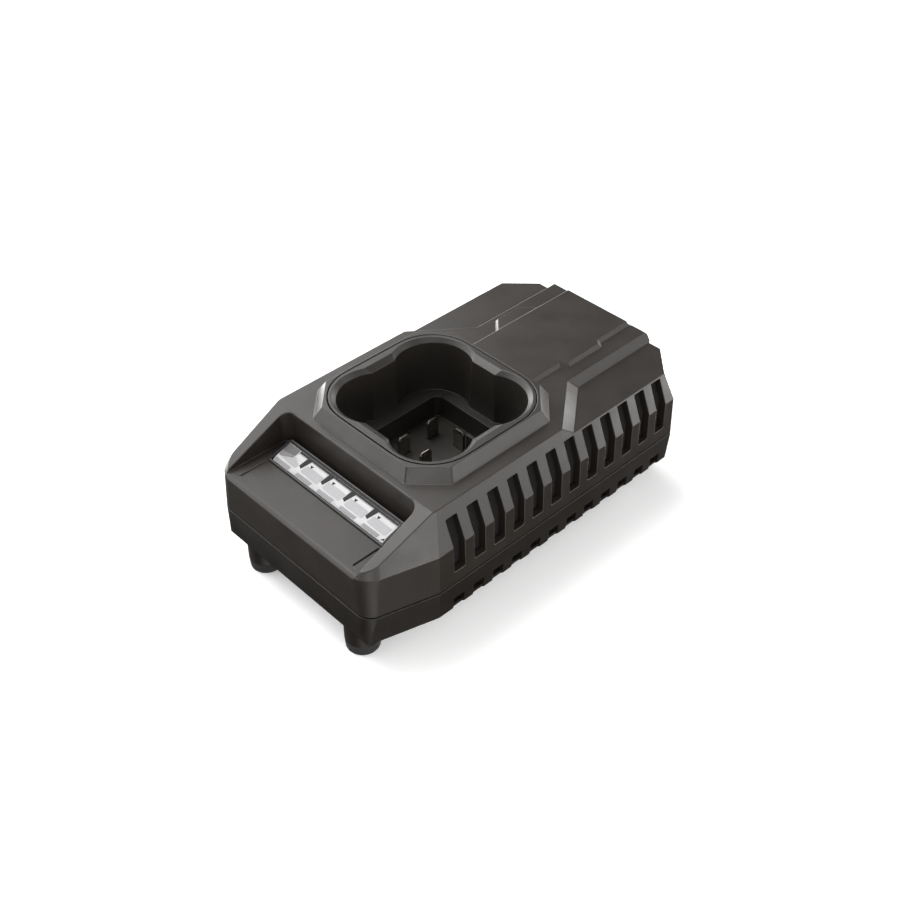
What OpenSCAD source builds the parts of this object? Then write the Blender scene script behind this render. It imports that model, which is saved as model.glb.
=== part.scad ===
// Twelve-volt tool battery charger: a two-shell moulded housing on four feet, with a
// four-lobed battery well, a five-segment status window and the charging electronics.
// X runs across the charger, -Y is the front, +Z is up. The origin lies on the table
// below the middle of the housing.

/* [Housing] */
// Length from the front face to the back of the rear rails
body_l = 116; // [110:1:128]
// Width over the side walls at the parting line
body_w = 69.7; // [68:0.1:76]
// Clear height under the base, which is the height of the feet
foot_h = 9.6; // [7:0.1:13]
// Height of the lower shell from the base to the parting line
lower_h = 9.6; // [9:0.1:12]
// Height of the upright walls from the parting line to the bend
wall_h = 12.3; // [11.5:0.1:15]
// Rise of the deck above the bend
deck_rise = 10.5; // [9.5:0.1:12]
// Thickness of the moulded walls
wall_t = 2.2; // [1.8:0.1:2.5]
// Inward lean of the side slopes for each millimetre of rise
side_slope = 0.41; // [0.36:0.01:0.46]
// Inward draft of the upright walls over their height
wall_draft = 0.37; // [0.1:0.01:0.5]

/* [Nose] */
// Width of the front face before its corners are rounded
nose_w = 58.4; // [56:0.1:62]
// Length over which the nose widens to the full width
flare_l = 19.3; // [17:0.1:22]
// Radius of the upright front corners
nose_r = 4.4; // [3:0.1:6]
// Length of the sloping front from its bevel to the deck
front_slope_l = 20.6; // [19:0.1:22]
// Depth of the bevel along the top of the front face
nose_bevel = 1; // [0.6:0.1:1.4]

/* [Tray] */
// Width of the tray that holds the status window
tray_w = 51.4; // [50.2:0.1:52.4]
// Depth of the tray from the front face to its back wall
tray_d = 21.3; // [20.6:0.1:22.2]
// Radius of the tray's back corners
tray_r = 3; // [2:0.1:4]
// Radius of the rounded front lip
lip_r = 1.3; // [0.6:0.1:1.8]

/* [Rear] */
// Length of the flat rear corner cuts along X and Y
corner_cut = 6.5; // [5:0.1:8]
// Drop from the deck to the terraces at the rear corners
terrace_drop = 2.6; // [2:0.1:3.2]
// Half width of the raised rear deck between the terraces
rear_deck_hw = 17.3; // [16.5:0.1:18]
// Distance that the rear rails stand behind the rear wall
rail_out = 0.7; // [0.4:0.1:1]
// Height of the middle step above the deck
step_h = 1.1; // [0.7:0.1:1.5]
// Half width of the top of the middle step
step_hw = 11.2; // [10.5:0.1:12]

/* [Side vents] */
// Width of a vent slot
vent_w = 3.75; // [3:0.05:4.5]
// Distance from one vent slot to the next
vent_pitch = 7; // [6.5:0.1:8]
// Distance from the front face to the first vent slot
vent_start = 24.3; // [23:0.1:26]
// Height of the slot's lower end above the parting line
vent_foot = 4.1; // [3:0.1:5.5]
// Height of the notches along the base edge
notch_h = 4.1; // [3:0.1:5]

/* [Battery well] */
// Distance from the front face to the middle of the well
well_setback = 49.4; // [48.5:0.1:51.5]
// Distance from the well's middle to the middle of a cell lobe, along X and Y
lobe_off = 10.2; // [9.9:0.05:10.4]
// Radius of a cell lobe at the mouth
lobe_r = 10.8; // [10.4:0.05:11]
// Half distance between the flats of the well
well_flat = 19.2; // [18.6:0.05:19.6]
// Depth from the rim to the ledge that stops the battery
ledge_depth = 16.8; // [15:0.1:18]
// Depth of the terminal recess below the ledge
recess_depth = 6.8; // [6:0.1:7.4]
// Wall of the well
well_t = 1.8; // [1.4:0.1:2]
// Outer radius of the collar at its corners
collar_r = 13; // [12.8:0.05:13.3]
// Rise of the pad round the well above the deck
pad_rise = 3.5; // [2.8:0.1:4]
// Gap between the collar and the housing
collar_gap = 0.3; // [0.15:0.05:0.4]

/* [Status window] */
// Number of segments in the status window
segments = 5; // [4:1:5]
// Width of one segment
segment_w = 8.7; // [8.4:0.1:9.2]
// Height of the window's rear edge above the tray floor
window_rise = 2.3; // [1.6:0.1:2.8]
// Length of the window from front to back
window_d = 6.3; // [5.8:0.1:6.8]

/* [Feet] */
// Diameter of a foot
foot_d = 9.5; // [8.6:0.1:10]
// Half distance between the left and right feet
foot_x = 20.1; // [19:0.1:21.5]
// Distance from the front and rear walls to the middle of a foot
foot_in = 5.7; // [5.4:0.1:6.4]

/* [Electronics] */
// Thickness of the main circuit board
board_t = 1.6; // [1.2:0.1:2]
// Height of the board's posts above the inside of the base
post_h = 3; // [2.6:0.1:3.6]
// Width of a charging terminal
blade_w = 3.9; // [3.4:0.1:4.4]
// Thickness of a charging terminal
blade_t = 0.9; // [0.7:0.05:1.1]
// Spacing of the terminals across the well
blade_pitch = 8.7; // [8:0.1:9.2]
// Height of the transformer
transformer_h = 17; // [14:0.5:18]
// Diameter of the mains capacitor
mains_cap_d = 12.5; // [10:0.5:13]
// Diameter of an output capacitor
out_cap_d = 8; // [6:0.5:8.5]
// Distance between the pins of the mains inlet
inlet_pitch = 8.6; // [8.2:0.1:9]
// Radius of the lobes of the mains inlet's socket
inlet_r = 4.3; // [4:0.1:4.5]

/* [Hidden] */
FEET = ["foot_front_left", "foot_front_right", "foot_rear_left", "foot_rear_right"];
TERMINALS = ["terminal_front_left", "terminal_front_middle", "terminal_front_right",
             "terminal_rear_left", "terminal_rear_middle", "terminal_rear_right"];

$fn = 48;
far = 200;         // longer than the housing, for cuts that run right through it
cut = 0.5;         // how far a cut runs past the face that it opens
fit = 0.1;         // clearance between parts that are fitted to each other
arc_steps = 10;    // flats in a quarter turn of a moulded corner

// Heights
base_z = foot_h;
parting_z = base_z + lower_h;
bend_z = parting_z + wall_h;
deck_z = bend_z + deck_rise;
terrace_z = deck_z - terrace_drop;
step_z = deck_z + step_h;
step_lean = 1.4;
pad_z = deck_z + pad_rise;
tray_z = bend_z + 0.6;

// Lengths
front_y = -body_l / 2;
rear_y = body_l / 2 - rail_out;
hw = body_w / 2;
bend_hw = hw - wall_draft;
well_y = front_y + well_setback;
tray_back_y = front_y + tray_d;
slope_top_y = front_y + nose_bevel + front_slope_l;

// The flare of the nose leans this far from the Y axis
nose_hw = nose_w / 2;
flare_a = atan((hw - nose_hw) / flare_l);
flare_d = nose_hw * cos(flare_a) - front_y * sin(flare_a);
flare_slope = 0.48;
nose_slope = 0.8;
nose_draft = 0.6;
nose_n = 6;
nose_cx = (flare_d + front_y * sin(flare_a)) / cos(flare_a) - nose_r * tan((90 - flare_a) / 2);
corner_d = (hw + rear_y - corner_cut) / sqrt(2);

// The plateau's edges where they drop to the terraces
terrace_lean = 1.9;
diag_a = 38.5;
diag_d = 28.9 * cos(diag_a) + (well_y + 19) * sin(diag_a);
diag_lean = 3;

// Well
ledge_z = pad_z - ledge_depth;
recess_z = ledge_z - recess_depth;
collar_hx = lobe_off + collar_r;
collar_hy = collar_hx - 0.4;
recess_hx = 15;
recess_hy = 16;
well_draft = 0.7;
mouth_drop = 1.1;
flange_w = 2.4;
flange_t = 2;
well_bottom_z = recess_z - well_t;

// Board
floor_z = base_z + wall_t;
board_z = floor_z + post_h;
board_top = board_z + board_t;
board_hx = hw - wall_t - 3.2;
board_front_y = front_y + foot_in + 4.6;
board_rear_y = rear_y - foot_in - 4.6;
board_screw_x = board_hx - 4;

// Window
window_hw = segments * segment_w / 2;
window_back_y = tray_back_y - 2.7;
window_front_y = window_back_y - window_d;
rim_w = 0.9;
lens_t = 1.2;
light_box_z = tray_z - wall_t;
light_box_h = 3;
led_board_t = 1.2;
led_board_z = light_box_z - light_box_h - led_board_t;

// Points of an arc about [x, y], from angle a0 to a1
function arc(x, y, r, a0, a1, n = arc_steps) =
    [for (i = [0 : n]) [x + r * cos(a0 + (a1 - a0) * i / n), y + r * sin(a0 + (a1 - a0) * i / n)]];

// A rectangle with corners of radius r, as points
function round_rect(hx, hy, r, y = 0) = concat(
    arc(hx - r, y + hy - r, r, 0, 90), arc(-hx + r, y + hy - r, r, 90, 180),
    arc(-hx + r, y - hy + r, r, 180, 270), arc(hx - r, y - hy + r, r, 270, 360));

// Outlines are drawn in the plane that they face and run along the third axis
module along_z(points, z0, z1) {
    translate([0, 0, z0]) linear_extrude(z1 - z0) polygon(points);
}
module along_x(points, x0, x1) {
    translate([x0, 0, 0]) rotate([90, 0, 90]) linear_extrude(x1 - x0) polygon(points);
}
module along_y(points, y0, y1) {
    translate([0, y1, 0]) rotate([90, 0, 0]) linear_extrude(y1 - y0) polygon(points);
}
module block(x0, x1, y0, y1, z0, z1) {
    translate([x0, y0, z0]) cube([x1 - x0, y1 - y0, z1 - z0]);
}
module peg(x, y, z0, z1, r) {
    translate([x, y, z0]) cylinder(r = r, h = z1 - z0);
}
module both_sides() {
    children();
    mirror([1, 0, 0]) children();
}

// ---- Housing form -------------------------------------------------------------

// Plan of the housing at the parting line, set in by t
function plan_half(t) = let (
        d = flare_d - t,
        y0 = front_y + t,
        x0 = (d + y0 * sin(flare_a)) / cos(flare_a),
        r = nose_r - t > 0.5 ? nose_r - t : 0.5,
        k = r * tan((90 - flare_a) / 2),
        cx = x0 - k,
        y1 = (hw - t) / tan(flare_a) - d / sin(flare_a),
        c = corner_d * sqrt(2) - t * sqrt(2))
    concat(arc(cx, y0 + r, r, 270, 360 - flare_a, nose_n),
        [[hw - t, y1], [hw - t, c - hw + t], [c - rear_y + t, rear_y - t]]);
function mirrored(p) = [for (i = [len(p) - 1 : -1 : 0]) [-p[i][0], p[i][1]]];
function plan(t) = concat(plan_half(t), mirrored(plan_half(t)));

// Upper housing, with every face set in by t
module upper_form(t) {
    s = t * sqrt(1 + side_slope * side_slope);
    top = deck_z - t;
    slope_hw = bend_hw - s - side_slope * (top - bend_z);
    fs = t * sqrt(1 + flare_slope * flare_slope);
    intersection() {
        along_z(plan(t), parting_z - (t > 0 ? cut : 0), top);
        // Side walls and side slopes
        along_y([[hw - t, parting_z - cut], [bend_hw - t, bend_z], [slope_hw, top],
                 [-slope_hw, top], [-bend_hw + t, bend_z], [-hw + t, parting_z - cut]], -far, far);
        // Front bevel, front slope and deck
        along_x([[front_y + t, parting_z - cut], [front_y + t, bend_z - t * 0.5],
                 [front_y + nose_bevel + t, bend_z + 1.3 * nose_bevel - t],
                 [slope_top_y + t * 0.5, top], [far, top], [far, parting_z - cut]], -far, far);
        flank(-flare_a, flare_d, wall_draft, flare_slope, fs, t);
        mirror([1, 0, 0]) flank(-flare_a, flare_d, wall_draft, flare_slope, fs, t);
        flank(45, corner_d, wall_draft, side_slope, s, t);
        mirror([1, 0, 0]) flank(45, corner_d, wall_draft, side_slope, s, t);
        intersection_for(i = [0 : nose_n - 1])
            nose_flank(i, t);
        mirror([1, 0, 0])
            intersection_for(i = [0 : nose_n - 1])
                nose_flank(i, t);
    }
}
// What lies inside a wall at distance d that faces the angle a: it stands up to the bend
// with the given draft and leans in above it
module flank(a, d, draft, slope, s, t) {
    top = deck_z - t;
    rotate([0, 0, a])
        along_y([[-far, parting_z - cut], [d - t, parting_z - cut], [d - draft - t, bend_z],
                 [d - draft - s - slope * (top - bend_z), top], [-far, top]], -far, far);
}
// Flats of the upright front corner, leaning in above the bend
module nose_flank(i, t) {
    span = 90 - flare_a;
    a = -90 + span * (i + 0.5) / nose_n;
    r = nose_r * cos(span / nose_n / 2);
    d = nose_cx * cos(a) + (front_y + nose_r) * sin(a) + r;
    slope = nose_slope + (flare_slope - nose_slope) * (i + 0.5) / nose_n;
    draft = wall_draft * (i + 0.5) / nose_n + nose_draft * sin(180 * (i + 0.5) / nose_n);
    flank(a, d, draft, slope, t * sqrt(1 + slope * slope), t);
}
// What the right rear terrace takes away above its floor
module terrace_cut(t) {
    z0 = terrace_z - t;
    z1 = deck_z + 1;
    k = terrace_lean / terrace_drop;
    m = diag_lean / terrace_drop;
    intersection() {
        along_y([[rear_deck_hw + terrace_lean - t, z0], [far, z0], [far, z1],
                 [rear_deck_hw - k * (z1 - deck_z) - t, z1]], -far, far);
        rotate([0, 0, diag_a])
            along_y([[diag_d + diag_lean - t, z0], [far, z0], [far, z1],
                     [diag_d - m * (z1 - deck_z) - t, z1]], -far, far);
    }
}

// Raised pad round the well
module pad() {
    lean = 2;
    corner_lean = 2.4;
    hx = collar_hx + 0.8;
    hy = collar_hy + 0.9;
    hd = lobe_off * sqrt(2) + collar_r + 0.8;
    translate([0, well_y, 0]) intersection() {
        along_y(pad_side(hx, lean), -far, far);
        along_x(pad_side(hy, lean), -far, far);
        rotate([0, 0, 45]) along_x(pad_side(hd, corner_lean), -far, far);
        rotate([0, 0, -45]) along_x(pad_side(hd, corner_lean), -far, far);
    }
}
function pad_side(w, lean) = let (g = lean * (1 + cut / pad_rise))
    [[-w - g, deck_z - cut], [w + g, deck_z - cut], [w, pad_z], [-w, pad_z]];

// Middle step of the rear deck, with a wider key on its right and a low key on its left
module middle_step() {
    along_y([[-step_hw - step_lean, deck_z - cut], [step_hw + step_lean, deck_z - cut],
             [step_hw, step_z], [-step_hw, step_z]],
            well_y + collar_hy + 0.5, rear_y - rail_out);
    key(step_hw + 1.5, well_y + 37.2, step_z);
    mirror([1, 0, 0]) key(step_hw + 4, well_y + 36, deck_z + 0.8);
}
// A key whose side at x leans in to the top, with its ends cut off at 45 degrees
module key(x, front, top) {
    y0 = front - step_hw;
    y1 = well_y + 52.6 + step_hw;
    g = step_lean * (top - deck_z + cut) / (step_z - deck_z + cut);
    d0 = -y0 / sqrt(2);
    d1 = y1 / sqrt(2);
    z = deck_z - cut;
    intersection() {
        along_y([[0, z], [x + g, z], [x, top], [0, top]], -far, far);
        rotate([0, 0, -45]) along_y([[-far, z], [d0 + g, z], [d0, top], [-far, top]], -far, far);
        rotate([0, 0, 45]) along_y([[-far, z], [d1 + g, z], [d1, top], [-far, top]], -far, far);
    }
}

// Rails that run over the rear edge and down the rear wall
module rear_rails() {
    z = parting_z + 6;
    both_sides() intersection() {
        block(step_hw + step_lean - 0.2, rear_deck_hw + terrace_lean - 0.3,
              rear_y - 1, rear_y + rail_out, z, deck_z);
        along_x([[rear_y - 1, z], [rear_y, z], [rear_y + rail_out, z + rail_out],
                 [rear_y + rail_out, deck_z - rail_out], [rear_y, deck_z], [rear_y - 1, deck_z]], 0, far);
    }
}

// Plan of the tray, grown by g
function tray_plan(g) = let (x = tray_w / 2 + g, y = tray_back_y + g, r = tray_r + g)
    concat([[-x, front_y - 5], [x, front_y - 5]],
           arc(x - r, y - r, r, 0, 90, 6), arc(-x + r, y - r, r, 90, 180, 6));

// Slot positions along the side, as many as fit before the rear corner
vent_room = rear_y - corner_cut - 2 - front_y - vent_start;
vent_n = floor((vent_room - vent_w) / vent_pitch) + 1;
function vent_y(i) = front_y + vent_start + i * vent_pitch;

module vents() {
    for (i = [0 : vent_n - 1])
        both_sides()
            block(bend_hw - 5.6, far / 4, vent_y(i), vent_y(i) + vent_w,
                  parting_z + vent_foot, terrace_z - 0.7);
}
module base_notches() {
    for (i = [0 : vent_n - 1])
        both_sides()
            {
                block(hw - 6, far / 4, vent_y(i), vent_y(i) + vent_w, base_z + 0.8, base_z + notch_h);
                block(hw - lower_draft - 0.7, far / 4, vent_y(i), vent_y(i) + vent_w,
                      base_z - cut, base_z + 1);
            }
}

module upper_shell() {
    color([0.27, 0.26, 0.26]) {
        difference() {
            difference() {
                union() {
                    upper_form(0);
                    rear_rails();
                    middle_step();
                    pad();
                }
                both_sides() terrace_cut(0);
            }
            // Hollow inside, keeping the tray's walls
            difference() {
                upper_form(wall_t);
                both_sides() terrace_cut(wall_t);
                along_z(tray_plan(wall_t), tray_z - wall_t, deck_z);
            }
            along_z(tray_plan(0), tray_z, deck_z + cut);
            // Rounded front lip
            along_x(concat([[front_y - cut, tray_z + cut], [front_y - cut, tray_z - lip_r]],
                           arc(front_y + lip_r, tray_z - lip_r, lip_r, 180, 90, 5),
                           [[front_y + lip_r, tray_z + cut]]), -tray_w / 2, tray_w / 2);
            // Opening for the collar of the well
            along_z(round_rect(collar_hx + collar_gap, collar_hy + collar_gap,
                               collar_r + collar_gap, well_y), deck_z - 5, pad_z + cut);
            // Opening for the status window
            block(-window_hw - rim_w / 2, window_hw + rim_w / 2, window_front_y - rim_w / 2,
                  window_back_y + rim_w / 2, tray_z - wall_t - cut, tray_z + cut);
            // Fine grooves beside the window's front
            both_sides() block(window_hw + 0.4, window_hw + 0.8, front_y + 2.6,
                               window_front_y - rim_w - 0.4, tray_z - 0.4, tray_z + cut);
            vents();
            // Rebate that takes the tongue of the lower shell
            along_z(plan(wall_t / 2), parting_z - cut, parting_z + tongue_h + fit);
            // Shadow line round the parting
            difference() {
                along_z(plan(-1), parting_z - cut, parting_z + 0.4);
                along_z(plan(0.45), parting_z - 2 * cut, parting_z + 1);
            }
            // Opening for the mains inlet
            block(-inlet_hw - fit, inlet_hw + fit, rear_y - 3 * wall_t, rear_y + 2,
                  parting_z - cut, inlet_z1 + fit);
        }
        // Posts for the case screws
        for (y = [front_y + foot_in, rear_y - foot_in])
            for (x = [-foot_x, foot_x])
                difference() {
                    peg(x, y, parting_z + tongue_h + 1,
                        y < 0 ? tray_z - wall_t / 2 : terrace_z - wall_t / 2, 2.8);
                    peg(x, y, parting_z, screw_top_z + 0.4, screw_r + 0.03);
                }
    }
}
tongue_h = 1.5;
screw_r = 1.45;
screw_seat_z = base_z - 1.2;
screw_top_z = parting_z + 8.6;

// ---- Lower shell ----------------------------------------------------------------

lower_draft = 0.65;
module lower_half(t) {
    intersection() {
        along_z(plan(t), base_z + t, parting_z + (t > 0 ? cut : 0));
        along_y(lower_section(hw - t), -far, far);
        rotate([0, 0, 45]) along_y(lower_section(corner_d - t), -far, far);
        rotate([0, 0, -flare_a]) along_y(lower_section(flare_d - t), -far, far);
        rotate([0, 0, 90]) along_y(lower_section(rear_y - t), -far, far);
        rotate([0, 0, -90]) along_y(lower_section(-front_y - t + 0.3), -far, far);
    }
}
// Section of one wall at distance d: leaning in below the parting, bevelled at the base
function lower_section(d) = let (e = 0.5)
    [[-far, base_z], [d - lower_draft - e, base_z], [d - lower_draft, base_z + e], [d, parting_z],
     [d, parting_z + 1], [-far, parting_z + 1]];

module lower_shell() {
    color([0.2, 0.19, 0.17]) {
        difference() {
            union() {
                lower_body(0);
                difference() {
                    along_z(plan(wall_t / 2 + fit), parting_z - 1, parting_z + tongue_h);
                    along_z(plan(wall_t), parting_z - 2, parting_z + 3);
                }
                for (y = [front_y + foot_in, rear_y - foot_in])
                    for (x = [-foot_x, foot_x])
                        peg(x, y, foot_seat_z, base_z + 1, foot_d / 2);
            }
            difference() {
                lower_body(wall_t);
                // Posts of the case screws and of the board
                for (y = [front_y + foot_in, rear_y - foot_in])
                    for (x = [-foot_x, foot_x])
                        peg(x, y, base_z, parting_z + tongue_h + 1, 3.4);
                for (p = board_posts)
                    peg(p[0], p[1], base_z, board_z, 2.8);
            }
            base_notches();
            for (y = [front_y + foot_in, rear_y - foot_in])
                for (x = [-foot_x, foot_x]) {
                    peg(x, y, foot_seat_z - cut, screw_seat_z, bore_r);
                    peg(x, y, foot_seat_z - cut, parting_z + far, screw_r + 0.15);
                }
            for (p = board_posts)
                peg(p[0], p[1], board_z - 2.6, board_z + cut, board_screw_r + 0.03);
            block(-inlet_hw - fit, inlet_hw + fit, rear_y - 3 * wall_t, rear_y + 2,
                  board_top, parting_z + far);
        }
    }
}
module lower_body(t) {
    intersection() {
        lower_half(t);
        mirror([1, 0, 0]) lower_half(t);
    }
}
foot_seat_z = foot_h * 0.34;
bore_r = 3;
board_screw_r = 1.2;
board_posts = [for (y = [board_front_y + 4, board_rear_y - 4]) for (x = [-board_screw_x, board_screw_x])
    [x, y]];

// A rubber foot: a rounded tread and a stem that plugs the boss
module foot(i) {
    x = (i % 2 == 0 ? -1 : 1) * foot_x;
    y = i < 2 ? front_y + foot_in : rear_y - foot_in;
    color([0.13, 0.13, 0.12])
        translate([x, y, 0]) rotate_extrude()
            polygon(concat([[0, 0]], arc(foot_d / 2 - 0.8, 0.6, 0.6, -90, 0, 4),
                           [[foot_d / 2, foot_seat_z], [bore_r - fit, foot_seat_z],
                            [bore_r - fit, foot_seat_z + 2.2], [0, foot_seat_z + 2.2]]));
}

// ---- Battery well ---------------------------------------------------------------

// Four cell lobes joined by flats, from z0 to z1, larger at the top by draft
module lobed(r0, r1, f0, f1, z0, z1, inset_y = 0.2) {
    hw_flat = 8;
    for (sx = [-1, 1])
        for (sy = [-1, 1])
            translate([sx * lobe_off, sy * (lobe_off - inset_y), z0])
                cylinder(r1 = r0, r2 = r1, h = z1 - z0);
    along_y([[-f0, z0], [f0, z0], [f1, z1], [-f1, z1]], -hw_flat, hw_flat);
    along_x([[-f0 + inset_y, z0], [f0 - inset_y, z0], [f1 - inset_y, z1], [-f1 + inset_y, z1]],
            -hw_flat, hw_flat);
}

module battery_well() {
    mouth_z = pad_z - mouth_drop;
    flange_z = deck_z - wall_t;
    color([0.12, 0.12, 0.11])
        translate([0, well_y, 0]) difference() {
            union() {
                along_z(round_rect(collar_hx, collar_hy, collar_r), flange_z - flange_t, pad_z);
                along_z(round_rect(collar_hx + flange_w, collar_hy + flange_w, collar_r + flange_w),
                        flange_z - flange_t, flange_z);
                lobed(lobe_r - well_draft + well_t, lobe_r + well_t, well_flat + well_t - 0.5,
                      well_flat + well_t, ledge_z - well_t, flange_z - 1);
                along_z(round_rect(recess_hx + well_t, recess_hy + well_t, 3.5), well_bottom_z,
                        ledge_z);
            }
            lobed(lobe_r - well_draft, lobe_r, well_flat - 0.5, well_flat, ledge_z, mouth_z);
            // Lead-in round the mouth
            lobed(lobe_r, lobe_r + 1.3, well_flat, well_flat + 2, mouth_z - 0.01, pad_z + 0.05);
            // Terminal recess, with a slot for each terminal
            along_z(round_rect(recess_hx, recess_hy, 2), recess_z, ledge_z + 1);
            for (i = [0 : 5])
                terminal_slot(i, well_bottom_z - cut, recess_z + cut);
        }
    // Barrier wall from the middle rear terminal to the side of the recess
    color([0.12, 0.12, 0.11])
        block(blade_w / 2 + 0.4, recess_hx + 0.5, well_y + rib_y, well_y + rib_y + 0.8,
              recess_z - 0.5, terminal_tip_z - 0.4);
}

// ---- Terminals ------------------------------------------------------------------

terminal_tip_z = ledge_z - 0.7;
// Plan place of a terminal: front row, then rear row
function terminal_xy(i) = [(i % 3 - 1) * blade_pitch, i < 3 ? -2.7 : i == 4 ? 9.9 : 8];
rib_y = 8 + blade_w / 2 + 0.3;
module terminal_slot(i, z0, z1) {
    p = terminal_xy(i);
    translate([p[0], p[1], 0]) rotate([0, 0, i == 4 ? 90 : 0])
        block(-blade_t / 2 - fit, blade_t / 2 + fit, -blade_w / 2 - fit, blade_w / 2 + fit, z0, z1);
}
module terminal(i) {
    p = terminal_xy(i);
    tip = 0.7;
    color([0.8, 0.74, 0.55])
        translate([p[0], well_y + p[1], 0]) rotate([0, 0, i == 4 ? 90 : 0]) intersection() {
            along_x([[-blade_w / 2, board_top], [blade_w / 2, board_top],
                     [blade_w / 2, terminal_tip_z - tip], [blade_w / 2 - tip, terminal_tip_z],
                     [-blade_w / 2 + tip, terminal_tip_z], [-blade_w / 2, terminal_tip_z - tip]],
                    -blade_t / 2, blade_t / 2);
            along_y([[-blade_t / 2, board_top], [blade_t / 2, board_top],
                     [blade_t / 2, terminal_tip_z - tip], [blade_t / 6, terminal_tip_z],
                     [-blade_t / 6, terminal_tip_z], [-blade_t / 2, terminal_tip_z - tip]],
                    -blade_w, blade_w);
        }
}
module contact_block() {
    color([0.16, 0.16, 0.15])
        translate([0, well_y, 0]) difference() {
            block(-recess_hx + 1, recess_hx - 1, -recess_hy + 8, recess_hy - 1, board_top,
                  well_bottom_z);
            for (i = [0 : 5])
                terminal_slot(i, board_top - cut, well_bottom_z + cut);
        }
}

// ---- Status window --------------------------------------------------------------

// Outline of the window in Y and Z, lifted by up and grown by g, down to z0
function window_side(up, g, z0) = [[window_front_y - g, z0], [window_front_y - g, tray_z + 0.05 + up],
    [window_front_y + 1.6, tray_z + 0.9 + up], [window_back_y + g, tray_z + window_rise + up],
    [window_back_y + g, z0]];

module status_bezel() {
    color([0.2, 0.2, 0.19]) difference() {
        union() {
            along_x(window_side(0.15, rim_w, tray_z), -window_hw - rim_w, window_hw + rim_w);
            block(-window_hw - rim_w / 2 + fit, window_hw + rim_w / 2 - fit,
                  window_front_y - rim_w / 2 + fit, window_back_y + rim_w / 2 - fit,
                  light_box_z, tray_z + 0.1);
        }
        block(-window_hw, window_hw, window_front_y, window_back_y, light_box_z - cut, deck_z);
    }
}
module status_lens() {
    color([0.85, 0.87, 0.88, 0.5])
        along_x([[window_front_y + fit, tray_z + 0.05 - lens_t], [window_front_y + fit, tray_z + 0.05],
                 [window_front_y + 1.6, tray_z + 0.9], [window_back_y - fit, tray_z + window_rise],
                 [window_back_y - fit, tray_z + window_rise - lens_t],
                 [window_front_y + 1.6, tray_z + 0.9 - lens_t]],
                -window_hw + fit, window_hw - fit);
}
// White comb under the lens, notched for the ribs of the light box
module status_diffuser() {
    color([0.93, 0.93, 0.9]) difference() {
        along_x([[window_front_y + fit, light_box_z], [window_front_y + fit, tray_z + 0.05 - lens_t],
                 [window_front_y + 1.6, tray_z + 0.9 - lens_t],
                 [window_back_y - fit, tray_z + window_rise - lens_t],
                 [window_back_y - fit, light_box_z]],
                -window_hw + fit, window_hw - fit);
        for (i = [1 : segments - 1])
            block(rib_x(i) - rib_t / 2 - fit, rib_x(i) + rib_t / 2 + fit,
                  window_back_y - rib_l - fit, window_back_y + 1, light_box_z - 1, deck_z);
    }
}
rib_t = 1.1;
rib_l = window_d * 0.52;
function rib_x(i) = -window_hw + i * segment_w;
module light_box() {
    color([0.1, 0.1, 0.1]) {
        difference() {
            block(-window_hw - 2, window_hw + 2, window_front_y - 1.6, window_back_y + 1.6,
                  light_box_z - light_box_h, light_box_z);
            for (i = [0 : segments - 1])
                block(rib_x(i) + 1, rib_x(i + 1) - 1, window_front_y + 1, window_back_y - 1,
                      light_box_z - light_box_h - 1, light_box_z + 1);
        }
        for (i = [1 : segments - 1])
            intersection() {
                block(rib_x(i) - rib_t / 2, rib_x(i) + rib_t / 2, window_back_y - rib_l,
                      window_back_y - fit, light_box_z - 0.5, deck_z);
                along_x(window_side(-lens_t - 0.05, 0, light_box_z - 2), -far, far);
            }
    }
}
module led_board() {
    color([0.12, 0.3, 0.16])
        block(-window_hw - 2, window_hw + 2, window_front_y - 1.6, window_back_y + 1.6,
              led_board_z, led_board_z + led_board_t);
}
module status_leds() {
    y = (window_front_y + window_back_y) / 2;
    for (i = [0 : segments - 1]) {
        x = rib_x(i) + segment_w / 2;
        color([0.9, 0.85, 0.6]) difference() {
            block(x - 1.75, x + 1.75, y - 1.4, y + 1.4, led_board_z + led_board_t,
                  led_board_z + led_board_t + 1.9);
            translate([x, y, led_board_z + led_board_t + 1.5]) cylinder(r1 = 0.8, r2 = 1.15, h = 0.5);
        }
    }
}
module led_header() {
    y = (window_front_y + window_back_y) / 2;
    n = 6;
    p = 2.54;
    color([0.75, 0.68, 0.4])
        for (i = [0 : n - 1])
            block((i - (n - 1) / 2) * p - 0.32, (i - (n - 1) / 2) * p + 0.32, y - 0.32, y + 0.32,
                  board_top, led_board_z);
}

// ---- Electronics ------------------------------------------------------------------

module main_board() {
    tongue = inlet_hw + 2;
    color([0.1, 0.28, 0.16]) difference() {
        union() {
            along_z([[-board_hx + 3, board_front_y], [board_hx - 3, board_front_y],
                     [board_hx, board_front_y + 8], [board_hx, board_rear_y - 4],
                     [board_hx - 4, board_rear_y], [-board_hx + 4, board_rear_y],
                     [-board_hx, board_rear_y - 4], [-board_hx, board_front_y + 8]],
                    board_z, board_top);
            block(-tongue, tongue, board_rear_y - 1, rear_y - wall_t - 0.6, board_z, board_top);
        }
        for (p = board_posts)
            peg(p[0], p[1], board_z - cut, board_top + cut, board_screw_r + 0.2);
    }
}
parts_y = well_y + collar_hy + 2;          // first clear row behind the well
part_gap = 1.05;                           // room between neighbouring parts
inlet_l = 15;
inlet_d = 12;
inlet_y = rear_y - inlet_l;                // the row behind the well ends here
screw_head_r = 2.3;
side_end = board_screw_x - screw_head_r - part_gap;

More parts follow.
